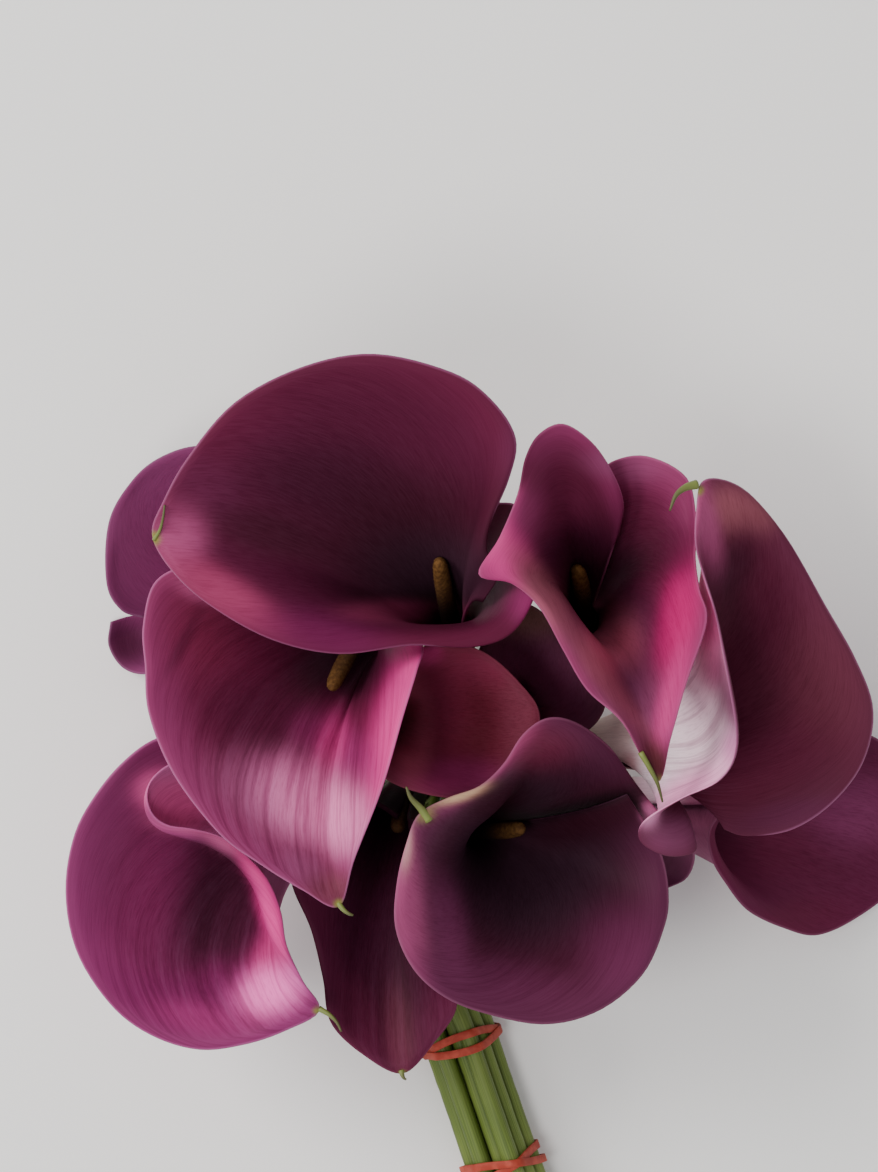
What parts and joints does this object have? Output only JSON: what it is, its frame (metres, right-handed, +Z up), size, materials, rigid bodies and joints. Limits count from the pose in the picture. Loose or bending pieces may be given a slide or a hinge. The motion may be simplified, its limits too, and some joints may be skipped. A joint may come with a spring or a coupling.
{
  "type": "calla lily bouquet",
  "caption": "Tied bunch of purple miniature calla lilies with flared, overlapping spathes on bare green stems held by rubber bands, lying on its side.",
  "frame": {"origin": "on the surface the bunch lies on, under the middle of its bounding box", "axes": "+Z up, the way most mouths look; the stems run towards -Y, the blooms lie towards +Y"},
  "size_m": [0.2202, 0.3776, 0.1167],
  "materials": {
    "spathe": "satin, fine veins, paler rim",
    "spadix": "matte, granular",
    "stem": "satin",
    "band": "matte"
  },
  "bodies": {
    "root": {"spathe_A": "spathe", "spathe_I": "spathe", "spathe_C": "spathe", "spathe_D": "spathe", "spathe_F": "spathe", "spathe_G": "spathe", "spathe_H": "spathe", "spathe_J": "spathe", "spathe_K": "spathe", "spathe_B": "spathe", "spathe_L": "spathe", "spadix_A": "spadix", "spadix_I": "spadix", "spadix_C": "spadix", "spadix_D": "spadix", "spadix_F": "spadix", "spadix_G": "spadix", "spadix_H": "spadix", "spadix_J": "spadix", "spadix_K": "spadix", "spadix_B": "spadix", "spadix_L": "spadix", "stem_A": "stem", "stem_I": "stem", "stem_C": "stem", "stem_D": "stem", "stem_F": "stem", "stem_G": "stem", "stem_H": "stem", "stem_J": "stem", "stem_K": "stem", "stem_B": "stem", "stem_L": "stem", "band_upper": "band", "band_lower": "band"}
  },
  "joints": []
}
